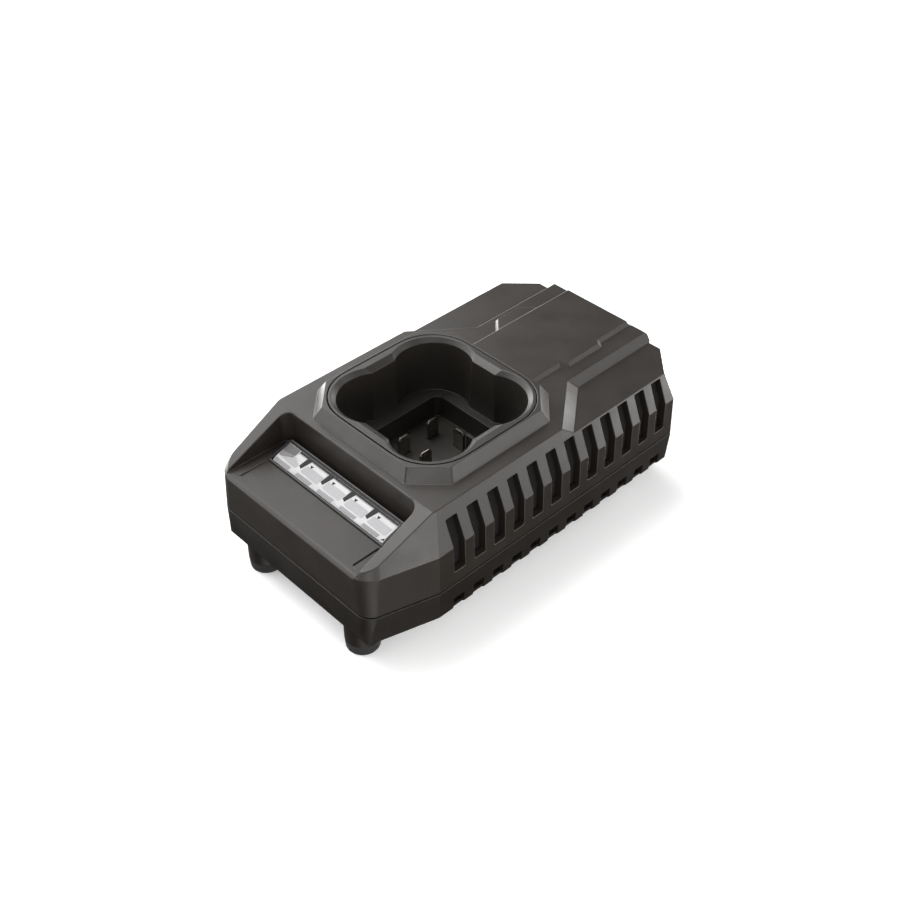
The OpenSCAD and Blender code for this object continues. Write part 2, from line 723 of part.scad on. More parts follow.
core_hw = 9;
core_leg = 4;                              // half width of the middle leg
core_side = 1.5;                           // thickness of the outer legs
core_yoke = 3;
wound_out = 2.6;                           // how far the winding stands out of the core
core_y0 = parts_y + 1;
core_y1 = inlet_y - wound_out - 2.5;
module transformer_core() {
    color([0.2, 0.2, 0.21]) difference() {
        block(-core_hw, core_hw, core_y0, core_y1, board_top, board_top + transformer_h);
        // Windows that the winding fills
        both_sides()
            block(core_leg, core_hw - core_side, core_y0 - 1, core_y1 + 1, board_top + core_yoke,
                  board_top + transformer_h - core_yoke);
    }
}
module transformer_winding() {
    z0 = board_top + core_yoke + fit;
    z1 = board_top + transformer_h - core_yoke - fit;
    x = core_hw - core_side - fit;
    color([0.85, 0.66, 0.2]) difference() {
        block(-x, x, core_y0 - wound_out, core_y1 + wound_out, z0, z1);
        block(-core_leg - fit, core_leg + fit, core_y0 - fit, core_y1 + fit, z0 - 1, z1 + 1);
    }
}
module capacitor(x, y, d, h) {
    rim = 0.4;
    translate([x, y, board_top]) rotate_extrude()
        polygon([[0, 0], [d / 2 - rim, 0], [d / 2, rim], [d / 2, 4 * rim], [d / 2 - rim, 5 * rim],
                 [d / 2, 6 * rim], [d / 2, h - rim], [d / 2 - rim, h], [0, h]]);
}
mains_cap_h = 18;
mains_cap_x = core_hw + 1.95 + mains_cap_d / 2;
mains_cap_y = parts_y + 1.75 + mains_cap_d / 2;
module mains_capacitor() {
    color([0.1, 0.12, 0.3]) capacitor(-mains_cap_x, mains_cap_y, mains_cap_d, mains_cap_h);
}
out_cap_h = 14;
module output_capacitors() {
    color([0.12, 0.2, 0.16])
        for (i = [0 : 1])
            capacitor(core_hw + 2 + out_cap_d / 2,
                      parts_y + 1 + out_cap_d / 2 + i * (out_cap_d + 1.5), out_cap_d, out_cap_h);
}
fuse_r = 2.4;
fuse_y = board_rear_y - 0.2 - fuse_r;
module fuse() {
    x0 = inlet_hw + 1.5;
    color([0.75, 0.76, 0.74]) translate([-x0, fuse_y, board_top + fuse_r])
        rotate([0, -90, 0]) cylinder(r = fuse_r, h = side_end - 0.6 - x0);
}
// Rod choke, lying between the mains capacitor and the fuse
choke_r = 4.5;
choke_cheek = 0.9;
module choke() {
    y0 = mains_cap_y + mains_cap_d / 2 + part_gap;
    y1 = fuse_y - fuse_r - 0.5;
    wound_r = choke_r - 0.6;
    color([0.25, 0.22, 0.18]) translate([-mains_cap_x, y1, board_top + choke_r])
        rotate([90, 0, 0]) rotate_extrude()
            polygon([[0, 0], [choke_r, 0], [choke_r, choke_cheek], [wound_r, choke_cheek],
                     [wound_r, y1 - y0 - choke_cheek], [choke_r, y1 - y0 - choke_cheek],
                     [choke_r, y1 - y0], [0, y1 - y0]]);
}
filter_d = 5;
filter_h = 10;
module line_filter_capacitor() {
    y1 = board_rear_y - 0.6;
    color([0.75, 0.6, 0.1])
        block(inlet_hw + 1, side_end, y1 - filter_d, y1, board_top, board_top + filter_h);
}
bridge_l = 12;
bridge_t = 2.5;
bridge_h = 9;
module bridge_rectifier() {
    x = mains_cap_x + mains_cap_d / 2 + part_gap;
    color([0.08, 0.08, 0.08])
        block(-x - bridge_t, -x, parts_y + 2, parts_y + 2 + bridge_l, board_top,
              board_top + bridge_h);
}
// Upright cooling plates beside the well, each with its power device on the inner face
plate_l = 22;
plate_t = 1.5;
plate_top = ledge_z + 2;
fin_t = 1.2;
fin_out = 1.3;
plate_x = board_hx - plate_t - fin_out - 0.6;
plate_y = well_y - plate_l / 2;
module cooling_plate() {
    block(plate_x, plate_x + plate_t, plate_y, plate_y + plate_l, board_top, plate_top);
    for (i = [0 : 2]) {
        y = plate_y + 3 + i * 7;
        block(plate_x + plate_t - 0.1, plate_x + plate_t + fin_out, y, y + fin_t, board_top,
              plate_top);
    }
}
device_w = 7;
device_t = 2.6;
device_h = 9;
module power_device() {
    block(plate_x - device_t, plate_x, well_y - device_w / 2, well_y + device_w / 2, board_top,
          board_top + device_h);
}
module primary_heatsink() {
    color([0.7, 0.71, 0.72]) mirror([1, 0, 0]) cooling_plate();
}
module switching_transistor() {
    color([0.08, 0.08, 0.09]) mirror([1, 0, 0]) power_device();
}
module output_heatsink() {
    color([0.7, 0.71, 0.72]) cooling_plate();
}
module output_diode() {
    color([0.08, 0.08, 0.09]) power_device();
}
// Small parts in front of the well
front_parts_y = well_y - 20;
opto_w = 6.5;
opto_d = 5;
opto_h = 3.6;
module optocoupler() {
    color([0.09, 0.09, 0.09])
        block(-19, -19 + opto_w, front_parts_y - 1 - opto_d, front_parts_y - 1, board_top,
              board_top + opto_h);
}
chip_w = 10;
chip_d = 7;
chip_h = 1.8;
module charge_controller() {
    color([0.07, 0.07, 0.08]) difference() {
        block(8, 8 + chip_w, front_parts_y - chip_d, front_parts_y, board_top,
              board_top + chip_h);
        translate([9.3, front_parts_y - chip_d + 1.2, board_top + chip_h - 0.2])
            cylinder(r = 0.5, h = 1);
    }
}

// Figure-eight mains inlet, standing on the board in the rear wall
inlet_hw = inlet_pitch / 2 + inlet_r + 1.4;
inlet_h = 2 * inlet_r + 2.6;
inlet_z1 = board_top + inlet_h;
module mains_inlet() {
    z = board_top + inlet_h / 2;
    color([0.08, 0.08, 0.08]) difference() {
        block(-inlet_hw, inlet_hw, rear_y - inlet_l, rear_y, board_top, inlet_z1);
        for (s = [-1, 1]) {
            translate([s * inlet_pitch / 2, rear_y + 1, z]) rotate([90, 0, 0])
                cylinder(r = inlet_r, h = inlet_d + 1);
            translate([s * inlet_pitch / 2, rear_y + 1, z]) rotate([90, 0, 0])
                cylinder(r = 1.2 + 0.03, h = inlet_l + 5);
        }
        block(-inlet_pitch / 2, inlet_pitch / 2, rear_y - inlet_d, rear_y + 1, z - inlet_r + 0.8,
              z + inlet_r - 0.8);
    }
}
module inlet_pins() {
    z = board_top + inlet_h / 2;
    color([0.8, 0.8, 0.78])
        for (s = [-1, 1])
            translate([s * inlet_pitch / 2, rear_y - 3, z]) rotate([90, 0, 0])
                cylinder(r = 1.2, h = inlet_l - 2);
}

// ---- Fasteners ----------------------------------------------------------------------

module case_screws() {
    head_h = 2;
    color([0.6, 0.6, 0.58])
        for (y = [front_y + foot_in, rear_y - foot_in])
            for (x = [-foot_x, foot_x])
                difference() {
                    union() {
                        peg(x, y, screw_seat_z - head_h, screw_seat_z, 2.7);
                        peg(x, y, screw_seat_z - 0.1, screw_top_z, screw_r);
                    }
                    translate([x, y, screw_seat_z - head_h - 0.5]) cylinder(r = 1.3, h = 1.7, $fn = 4);
                }
}
module board_screws() {
    color([0.7, 0.7, 0.68])
        for (p = board_posts)
            difference() {
                union() {
                    peg(p[0], p[1], board_top, board_top + 1.6, screw_head_r);
                    peg(p[0], p[1], board_z - 2, board_top + 0.1, board_screw_r);
                }
                translate([p[0], p[1], board_top + 0.7]) cylinder(r = 1, h = 2, $fn = 4);
            }
}

upper_shell();
lower_shell();
battery_well();
contact_block();
for (i = [0 : 5])
    terminal(i);
status_bezel();
status_lens();
status_diffuser();
light_box();
led_board();
status_leds();
led_header();
main_board();
transformer_core();
transformer_winding();
mains_capacitor();
output_capacitors();
choke();
line_filter_capacitor();
fuse();
bridge_rectifier();
switching_transistor();
output_diode();
primary_heatsink();
output_heatsink();
optocoupler();
charge_controller();
mains_inlet();
inlet_pins();
for (i = [0 : 3])
    foot(i);
case_screws();
board_screws();
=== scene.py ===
"""Looks of the battery charger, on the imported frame. Lengths in metres, or in mm where said."""
import math

import bmesh
import bpy
from mathutils import Matrix, Vector


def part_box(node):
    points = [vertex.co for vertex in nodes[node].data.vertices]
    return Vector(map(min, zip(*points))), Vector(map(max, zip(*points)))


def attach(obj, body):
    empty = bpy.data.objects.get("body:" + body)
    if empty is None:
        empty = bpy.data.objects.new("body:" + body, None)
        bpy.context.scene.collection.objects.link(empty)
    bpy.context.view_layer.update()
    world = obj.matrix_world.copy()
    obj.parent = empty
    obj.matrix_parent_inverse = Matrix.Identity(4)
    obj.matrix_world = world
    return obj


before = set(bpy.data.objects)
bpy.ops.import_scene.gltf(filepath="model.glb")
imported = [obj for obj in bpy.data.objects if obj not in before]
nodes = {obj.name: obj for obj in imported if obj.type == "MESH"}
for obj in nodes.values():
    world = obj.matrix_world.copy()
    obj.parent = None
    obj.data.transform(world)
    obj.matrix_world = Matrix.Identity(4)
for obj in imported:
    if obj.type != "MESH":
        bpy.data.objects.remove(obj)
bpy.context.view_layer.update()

scene = bpy.context.scene
MM = 0.001


# ---- Camera, fitted to the photograph ------------------------------------------------
CAMERA_AZIMUTH = 46.5247  # degrees from -Y towards +X
CAMERA_HEIGHT = 40.4707  # degrees above the table
CAMERA_ROLL = -0.3454  # degrees
CAMERA_PLACE = (0.19332, -0.18549, 0.2503)
LENS_MM, SENSOR_MM = 51.036, 36


def make_camera():
    az, el, roll = (math.radians(a) for a in (CAMERA_AZIMUTH, CAMERA_HEIGHT, CAMERA_ROLL))
    back = Vector((math.sin(az) * math.cos(el), -math.cos(az) * math.cos(el), math.sin(el)))
    right = Vector((math.cos(az), math.sin(az), 0))
    up = back.cross(right)
    x = right * math.cos(roll) + up * math.sin(roll)
    y = up * math.cos(roll) - right * math.sin(roll)
    data = bpy.data.cameras.new("camera")
    data.lens = LENS_MM
    data.sensor_width = SENSOR_MM
    data.clip_start, data.clip_end = 0.01, 20
    camera = bpy.data.objects.new("camera", data)
    turn = Matrix((x, y, back)).transposed().to_4x4()
    camera.matrix_world = Matrix.Translation(CAMERA_PLACE) @ turn
    scene.collection.objects.link(camera)
    scene.camera = camera


make_camera()


# ---- Node helpers ----------------------------------------------------------------
MIX_FACTOR, MIX_A, MIX_B, MIX_COLOUR = 0, 6, 7, 2  # sockets of a colour Mix node


class Graph:
    """A material under construction."""

    def __init__(self, name):
        self.mat = bpy.data.materials.new(name)
        self.mat.use_nodes = True
        self.nodes = self.mat.node_tree.nodes
        self.bsdf = self.nodes["Principled BSDF"]
        self.coords = self.nodes.new("ShaderNodeTexCoord").outputs["Object"]

    def add(self, kind, **values):
        node = self.nodes.new("ShaderNode" + kind)
        for key, value in values.items():
            setattr(node, key, value)
        return node

    def link(self, a, b):
        self.mat.node_tree.links.new(a, b)

    def stretch(self, scale):
        """Object coordinates, stretched."""
        m = self.add("Mapping")
        m.inputs["Scale"].default_value = scale
        self.link(self.coords, m.inputs["Vector"])
        return m.outputs["Vector"]

    def noise(self, size, detail=2.0, rough=0.5, vector=None):
        """Noise with features of the given size in metres."""
        n = self.add("TexNoise")
        n.inputs["Scale"].default_value = 1 / size
        n.inputs["Detail"].default_value = detail
        n.inputs["Roughness"].default_value = rough
        self.link(vector or self.coords, n.inputs["Vector"])
        return n.outputs["Fac"]

    def cells(self, size):
        """Distance from the middle of a cell, for cells of the given size in metres."""
        n = self.add("TexVoronoi")
        n.inputs["Scale"].default_value = 1 / size
        self.link(self.coords, n.inputs["Vector"])
        return n.outputs["Distance"]

    def remap(self, value, a, b, low=0.3, high=0.7):
        """Goes from a to b as the value goes from low to high."""
        m = self.add("MapRange")
        for i, v in zip((1, 2, 3, 4), (low, high, a, b)):
            m.inputs[i].default_value = v
        self.link(value, m.inputs[0])
        return m.outputs[0]

    def math(self, op, a, b):
        m = self.add("Math", operation=op)
        for i, v in enumerate((a, b)):
            if isinstance(v, (int, float)):
                m.inputs[i].default_value = v
            else:
                self.link(v, m.inputs[i])
        return m.outputs[0]

    def mix(self, fac, a, b):
        """Colour a where fac is 0, b where it is 1."""
        m = self.add("Mix", data_type="RGBA")
        self.link(fac, m.inputs[MIX_FACTOR])
        for i, v in ((MIX_A, a), (MIX_B, b)):
            if isinstance(v, tuple):
                m.inputs[i].default_value = (*v, 1)
            else:
                self.link(v, m.inputs[i])
        return m.outputs[MIX_COLOUR]

    def axis(self, name):
        s = self.add("SeparateXYZ")
        self.link(self.coords, s.inputs[0])
        return s.outputs[name]

    def bump(self, height, depth):
        b = self.add("Bump")
        b.inputs["Strength"].default_value = 1
        b.inputs["Distance"].default_value = depth
        self.link(height, b.inputs["Height"])
        return b.outputs["Normal"]

    def finish(self, colour, rough, normal=None, **fixed):
        """Links what varies to the shader, and sets what is the same all over on its sockets."""
        self.link(colour, self.bsdf.inputs["Base Color"])
        self.link(rough, self.bsdf.inputs["Roughness"])
        if normal is not None:
            self.link(normal, self.bsdf.inputs["Normal"])
        for key, value in fixed.items():
            self.bsdf.inputs[key.replace("_", " ")].default_value = value
        return self.mat


def shade(colour, k):
    return tuple(c * k for c in colour)


# ---- Kinds of finish -----------------------------------------------------------------
def moulded(name, colour, rough=0.5, grain=0.35 * MM, depth=0.012 * MM, mottle=0.09, **fixed):
    """Moulded plastic with a fine spark-eroded grain."""
    flow_size, handled_size, speck_size = 22 * MM, 9 * MM, 0.45 * grain
    g = Graph(name)
    broad = g.noise(flow_size, 3)
    fine = g.noise(grain, 3, 0.6)
    speck = g.noise(speck_size, 1)
    tint = g.mix(g.remap(broad, 0, 1), shade(colour, 1 - mottle), shade(colour, 1 + mottle))
    tint = g.mix(g.remap(fine, 0, 0.35), tint, shade(colour, 0.72))
    tint = g.mix(g.remap(speck, 0, 0.22, 0.55, 0.75), tint, shade(colour, 1.7))
    patch = g.noise(handled_size, 4, 0.6)
    r = g.math("ADD", g.remap(patch, rough - 0.05, rough + 0.05), g.remap(fine, -0.05, 0.05))
    height = g.math("ADD", fine, g.math("MULTIPLY", speck, 0.4))
    return g.finish(tint, r, g.bump(height, depth), **fixed)


def frosted(name, colour, rough, mottle):
    """Smooth moulding in a flat tone, as plates on the window show it: frosted panels, and
    painted light, shadow, reflection and highlights.
    """
    return moulded(name, colour, rough, grain=0.4 * MM, depth=0.006 * MM, mottle=mottle)


def metal(name, colour, rough=0.28, along=(1, 1, 12)):
    """Metal with drawn or brushed marks, and a little tarnish."""
    mark_size, tarnish_size, mark_depth = 0.25 * MM, 3.5 * MM, 0.006 * MM
    g = Graph(name)
    marks = g.noise(mark_size, 3, 0.6, g.stretch(along))
    tarnish = g.noise(tarnish_size, 4, 0.6)
    tint = g.mix(g.remap(tarnish, 0, 0.6, 0.42, 0.75), colour, shade(colour, 0.55))
    r = g.math("ADD", g.remap(marks, rough - 0.08, rough + 0.1), g.remap(tarnish, -0.03, 0.08))
    return g.finish(tint, r, g.bump(marks, mark_depth), Metallic=1.0)


def epoxy(name, colour, rough=0.25, streak=(1, 1, 1), size=1.5 * MM, depth=0.01 * MM):
    """Glossy sleeve, tape or moulded case of a board part, with slight unevenness."""
    dust_size, dust_colour = 0.5 * MM, (0.09, 0.085, 0.08)
    g = Graph(name)
    uneven = g.noise(size, 3, 0.5, g.stretch(streak))
    dust = g.noise(dust_size, 4, 0.65)
    tint = g.mix(g.remap(uneven, 0, 1), shade(colour, 0.82), shade(colour, 1.15))
    tint = g.mix(g.remap(dust, 0, 0.16, 0.52, 0.75), tint, dust_colour)
    r = g.math("ADD", g.remap(uneven, rough - 0.06, rough + 0.06),
               g.remap(dust, 0, 0.15, 0.5, 0.75))
    return g.finish(tint, r, g.bump(uneven, depth))


def circuit_board(name):
    """Green solder mask over tracks, with a plain pattern of pads."""
    bare, over_track = (0.003, 0.011, 0.006), (0.005, 0.02, 0.01)
    weave_colour, solder = (0.003, 0.009, 0.005), (0.12, 0.115, 0.1)
    pad_pitch, weave_size, track_height = 4.2 * MM, 0.5 * MM, 0.03 * MM
    g = Graph(name)
    tracks = g.add("TexBrick", offset=0.5)
    for key, v in (("Scale", 260), ("Mortar Size", 0.012), ("Mortar Smooth", 0.3),
                   ("Brick Width", 1.4), ("Row Height", 0.45)):
        tracks.inputs[key].default_value = v
    g.link(g.coords, tracks.inputs["Vector"])
    mask = tracks.outputs["Fac"]
    pads = g.remap(g.cells(pad_pitch), 1, 0, 0.12, 0.16)
    weave = g.noise(weave_size, 2)
    green = g.mix(mask, bare, over_track)
    green = g.mix(g.remap(weave, 0, 0.3), green, weave_colour)
    tint = g.mix(pads, green, solder)
    r = g.math("ADD", g.remap(weave, 0.28, 0.4), g.math("MULTIPLY", pads, -0.08))
    height = g.math("ADD", g.math("MULTIPLY", mask, 0.5), pads)
    return g.finish(tint, r, g.bump(height, track_height))


def banded(name, colour, band, axis, edges, rough=0.3):
    """A sleeve or tube whose ends past the edges along one axis are bare metal."""
    uneven_size, uneven_depth = 1.2 * MM, 0.01 * MM
    g = Graph(name)
    place = g.axis(axis)
    low, high = edges
    ends = g.math("ADD", g.math("LESS_THAN", place, low), g.math("GREATER_THAN", place, high))
    uneven = g.noise(uneven_size, 3)
    tint = g.mix(g.remap(uneven, 0, 1), shade(colour, 0.85), shade(colour, 1.12))
    tint = g.mix(ends, tint, band)
    r = g.remap(uneven, rough - 0.07, rough + 0.07)
    g.link(ends, g.bsdf.inputs["Metallic"])
    return g.finish(tint, r, g.bump(uneven, uneven_depth))


def clear_lens(name):
    """Milky moulding, faintly frosted, over the white comb."""
    frost_size, cloud_size, frost_depth = 0.5 * MM, 2.2 * MM, 0.004 * MM
    g = Graph(name)
    frost = g.noise(frost_size, 3, 0.6)
    cloud = g.noise(cloud_size, 3, 0.6)
    tint = g.mix(g.remap(cloud, 0, 1), (0.4, 0.4, 0.41), (0.52, 0.52, 0.52))
    return g.finish(tint, g.remap(frost, 0.1, 0.25), g.bump(frost, frost_depth), Alpha=0.9)


# ---- Materials -------------------------------------------------------------------
TIN = (0.6, 0.6, 0.6)
X, Z = 0, 2


def span(node, axis, inset_mm):
    """Both ends of a node along an axis, each drawn in by the inset."""
    lo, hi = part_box(node)
    return lo[axis] + inset_mm * MM, hi[axis] - inset_mm * MM


def below_lid(node, lid_mm=0.35):
    """From the board to just under the bare lid of a capacitor."""
    return 0, span(node, Z, lid_mm)[1]


MATERIALS = {
    "housing": moulded("housing", (0.019, 0.0152, 0.0121), 0.38),
    "base": moulded("base", (0.013, 0.0104, 0.0082), 0.4),
    "collar": moulded("collar", (0.017, 0.0145, 0.012), 0.38, grain=0.3 * MM),
    "terminal": metal("terminal", (0.3, 0.28, 0.24)),
    "dark": moulded("dark", (0.009, 0.008, 0.0072), 0.5, grain=0.5 * MM),
    # Painted shade: a matte dark sheet behind the vent slots
    "baffle": moulded("baffle", (0.013, 0.0122, 0.0114), 0.9, grain=0.5 * MM, depth=0.02 * MM,
                      Specular_IOR_Level=0.15),
    "bezel": moulded("bezel", (0.005, 0.0048, 0.0046), 0.45, grain=0.6 * MM, depth=0.004 * MM,
                     Specular_IOR_Level=0.22),
    "lens": clear_lens("lens"),
    "frost": frosted("frost", (0.305, 0.3, 0.31), 0.4, 0.04),
    # Painted light: the lighter strip at the back of each window cell
    "painted_light": frosted("painted_light", (0.47, 0.47, 0.467), 0.4, 0.04),
    # Painted shadow: grey patch on the steep front face of each cell; also the grey line along
    # the back of the lens
    "lens_grey": frosted("lens_grey", (0.21, 0.21, 0.214), 0.35, 0.12),
    # Painted grey: painted reflection of the dark tray wall in the window's left corner, and
    # painted highlight lines on the bezel's edges
    "painted_grey": frosted("painted_grey", (0.055, 0.052, 0.052), 0.35, 0.25),
    # Painted reflection: the lighter front part of the same corner
    "painted_reflection": frosted("painted_reflection", (0.13, 0.125, 0.125), 0.35, 0.2),
    "white": moulded("white", (0.78, 0.78, 0.76), 0.45, grain=0.6 * MM, depth=0.006 * MM,
                     mottle=0.03),
    "rubber": moulded("rubber", (0.017, 0.0165, 0.016), 0.78, grain=0.5 * MM, depth=0.02 * MM,
                      mottle=0.15),
    "steel": metal("steel", (0.3, 0.3, 0.29), 0.4),
    "nickel": metal("nickel", (0.68, 0.64, 0.55), 0.22),
    "aluminium": metal("aluminium", (0.075, 0.076, 0.08), 0.5, along=(12, 12, 1)),
    "board": circuit_board("board"),
    "led": epoxy("led", (0.75, 0.7, 0.5), 0.2),
    "ferrite": moulded("ferrite", (0.03, 0.03, 0.032), 0.62, grain=0.9 * MM, depth=0.03 * MM),
    "winding": epoxy("winding", (0.16, 0.09, 0.015), 0.3, streak=(0.15, 0.15, 2.2)),
    "blue_can": banded("blue_can", (0.02, 0.035, 0.16), TIN, "Z", below_lid("mains_capacitor")),
    "green_can": banded("green_can", (0.02, 0.07, 0.045), TIN, "Z",
                        below_lid("output_capacitors")),
    "shrink": epoxy("shrink", (0.035, 0.025, 0.018), 0.3, streak=(0.3, 4, 0.3), depth=0.05 * MM),
    "film": epoxy("film", (0.03, 0.02, 0.005), 0.4),
    "fuse": banded("fuse", (0.55, 0.55, 0.5), (0.62, 0.6, 0.55), "X", span("fuse", X, 2.2), 0.15),
    "package": moulded("package", (0.014, 0.014, 0.014), 0.55, grain=0.25 * MM),
}


# ---- CAD nodes: each one's finish, and the radius in mm of its soft edges ------------------
LOOK = {
    "upper_shell": ("housing", 0.22),
    "lower_shell": ("base", 0.12),
    "battery_well": ("collar", 0.1),
    "contact_block": ("dark", 0.25),
    "status_bezel": ("bezel", 0.2),
    "status_lens": ("lens", 0.15),
    "status_diffuser": ("white", 0.08),
    "light_box": ("dark", 0.1),
    "led_board": ("board", 0.1),
    "status_leds": ("led", 0.15),
    "led_header": ("nickel", 0.1),
    "main_board": ("board", 0.1),
    "transformer_core": ("ferrite", 0.3),
    "transformer_winding": ("winding", 0.5),
    "mains_capacitor": ("blue_can", 0.2),
    "output_capacitors": ("green_can", 0.2),
    "choke": ("shrink", 0.25),
    "line_filter_capacitor": ("film", 0.4),
    "fuse": ("fuse", 0.2),
    "bridge_rectifier": ("package", 0.25),
    "switching_transistor": ("package", 0.25),
    "output_diode": ("package", 0.25),
    "primary_heatsink": ("aluminium", 0.15),
    "output_heatsink": ("aluminium", 0.15),
    "optocoupler": ("package", 0.2),
    "charge_controller": ("package", 0.12),
    "mains_inlet": ("dark", 0.3),
    "inlet_pins": ("nickel", 0.25),
    "case_screws": ("steel", 0.15),
    "board_screws": ("steel", 0.1),
}
for name in nodes:
    if name.startswith("terminal_"):
        LOOK[name] = ("terminal", 0.08)
    if name.startswith("foot_"):
        LOOK[name] = ("rubber", 0.35)

FACET_DEG = 14  # turn between two facets of a round wall, at most
EDGE_DEG = 24  # turn from which an edge is rounded
WELD_MM = 0.004


def smoothing():
    """Node group that shades round walls smooth and keeps the edges between faces sharp."""
    group = bpy.data.node_groups.new("smoothing", "GeometryNodeTree")
    for direction in ("INPUT", "OUTPUT"):
        group.interface.new_socket("Geometry", in_out=direction,
                                   socket_type="NodeSocketGeometry")
    start = group.nodes.new("NodeGroupInput")
    end = group.nodes.new("NodeGroupOutput")
    plain = group.nodes.new("GeometryNodeRemoveAttribute")
    plain.inputs["Name"].default_value = "custom_normal"
    faces = group.nodes.new("GeometryNodeSetShadeSmooth")
    edges = group.nodes.new("GeometryNodeSetShadeSmooth")
    edges.domain = "EDGE"
    edges.inputs["Shade Smooth"].default_value = False
    angle = group.nodes.new("GeometryNodeInputMeshEdgeAngle")
    wide = group.nodes.new("ShaderNodeMath")
    wide.operation = "GREATER_THAN"
    wide.inputs[1].default_value = math.radians(FACET_DEG)
    for a, b in ((start.outputs[0], plain.inputs["Geometry"]),
                 (plain.outputs["Geometry"], faces.inputs["Geometry"]),
                 (faces.outputs["Geometry"], edges.inputs["Geometry"]),
                 (edges.outputs["Geometry"], end.inputs[0]),
                 (angle.outputs["Unsigned Angle"], wide.inputs[0]),
                 (wide.outputs[0], edges.inputs["Selection"])):
        group.links.new(a, b)
    return group


SMOOTHING = smoothing()


def soften(node, radius_mm):
    """Weld the exported facets, shade round walls smooth and round the sharp edges."""
    weld = node.modifiers.new("weld", "WELD")
    weld.merge_threshold = WELD_MM * MM
    smooth = node.modifiers.new("smooth", "NODES")
    smooth.node_group = SMOOTHING
    bevel = node.modifiers.new("bevel", "BEVEL")
    bevel.width = radius_mm * MM
    bevel.segments = 3
    bevel.limit_method = "ANGLE"
    bevel.angle_limit = math.radians(EDGE_DEG)
    bevel.use_clamp_overlap = False
    bevel.miter_outer = "MITER_ARC"
    normals = node.modifiers.new("normals", "WEIGHTED_NORMAL")
    normals.keep_sharp = True


for name, node in nodes.items():
    look, radius_mm = LOOK[name]
    node.data.materials.clear()
    node.data.materials.append(MATERIALS[look])
    soften(node, radius_mm)


# ---- Pieces of the scene's own ---------------------------------------------------------
def solid(name, low, high, look, slot):
    """A closed piece between two rings of as many points, on the charger's one body."""
    bm = bmesh.new()
    low, high = ([bm.verts.new(point) for point in ring] for ring in (low, high))
    bm.faces.new(high)
    bm.faces.new(list(reversed(low)))
    for i in range(len(low)):
        j = (i + 1) % len(low)
        bm.faces.new((low[i], low[j], high[j], high[i]))
    bmesh.ops.recalc_face_normals(bm, faces=bm.faces)
    mesh = bpy.data.meshes.new(name)
    bm.to_mesh(mesh)
    bm.free()
    piece = bpy.data.objects.new(name, mesh)
    mesh.materials.append(MATERIALS[look])
    scene.collection.objects.link(piece)
    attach(piece, "root")
    return piece


def break_edges(piece, width_mm, steps, harden):
    bevel = piece.modifiers.new("bevel", "BEVEL")
    bevel.width = width_mm * MM
    bevel.segments = steps
    bevel.limit_method = "ANGLE"
    bevel.harden_normals = harden


# ---- Dark sheets behind the vents: painted shade that makes the slots look dark inside ---
# Inner face of a side wall in mm, as X and Z at its foot and at its bend
WALL_FOOT, WALL_BEND = (32.42, 22.2), (32.2, 31.4)
WALL_SLOPE = 0.41  # how far the wall leans in above the bend, per mm of height
SHADE_SHEET_MM = 0.5
# Front and rear lengths in mm: from Y, to Y, and top, which stays under the ceiling there
SHADE_SHEETS = (("front", -34.4, 12.3, 38.6), ("rear", 12.3, 47.7, 37.15))


def vent_shade_sheet(name, side, y0, y1, top):
    """A dark sheet against the inner face of a side wall, folded where the wall bends, put there
    as painted shade so the vent slots look dark inside.
    """
    bend_x, bend_z = WALL_BEND
    wall = [WALL_FOOT, WALL_BEND, (bend_x - WALL_SLOPE * (top - bend_z), top)]
    profile = wall + [(x - SHADE_SHEET_MM, z) for x, z in reversed(wall)]
    ends = [[Vector((side * x, y, z)) * MM for x, z in profile] for y in (y0, y1)]
    baffle = solid(name, *ends, "baffle", "black_plastic")
    break_edges(baffle, 0.05, steps=1, harden=False)


# Painted shade: dark sheets behind the slots on both sides
for side, word in ((-1, "left"), (1, "right")):
    for part, y0, y1, top in SHADE_SHEETS:
        vent_shade_sheet(f"vent_shade_sheet_{word}_{part}", side, y0, y1, top)


# ---- Status window: plates on the lens, frosted panels and painted light, shade and reflection ---
# The lens has a steep face at the front and a long flat slope behind it. Corners are in mm:
# the first number runs along X, the second up the face from its front edge.
STEEP_RUN, STEEP_RISE, SLOPE_RISE, RIM = 1.5, 0.85, 1.4, 1.0
RIM_SLOPE = Vector((0, 2.6, 0.85)).normalized()
SEGMENTS, SEGMENT_PITCH = 5, 8.7

# In each segment, measured from its left edge
STRIP = [(1.2, 2.72), (8.1, 2.66), (8.0, 3.8), (1.6, 3.85)]
FIRST_STRIP = [(5.0, 2.72), (8.1, 2.66), (8.0, 3.8), (5.4, 3.85)]
PANEL = [(0.8, 0.1), (7.6, 0.0), (7.9, 2.5), (1.3, 2.55)]
FIRST_PANEL = [(1.6, 0.25), (7.6, 0.0), (7.8, 1.3), (5.0, 2.5), (3.7, 2.0)]
# Painted shadow patch on the steep face
SHADOW_PATCH = [(0.3, 0.3), (6.1, 0.3), (6.6, 1.35), (0.5, 1.35)]
MARK = [(1.95, 3.25), (2.55, 2.4), (3.2, 3.25)]
DIVIDER = [(-0.7, 1.25), (0.37, 0.8), (1.45, 4.3), (-0.35, 4.1)]

# Once, measured from the middle
NOTCH = [(20.5, 0.5), (21.4, 0.75), (21.5, 1.3), (20.9, 1.0)]
REAR_BAND = [(-16.8, 3.93), (21.5, 3.9), (21.5, 4.75), (-16.8, 4.75)]
REAR_LINE = [(-16.8, 3.96), (21.5, 3.96), (21.5, 4.12), (-16.8, 4.12)]
# Painted reflection of the dark tray wall in the window's left corner, darker at the back than at
# the front
CORNER_REAR = [(-21.5, 2.0), (-17.1, 2.6), (-17.0, 4.7), (-21.5, 4.7)]
CORNER_FRONT = [(-21.4, 0.55), (-20.5, 0.45), (-17.1, 2.0), (-17.2, 3.0), (-21.5, 3.0)]
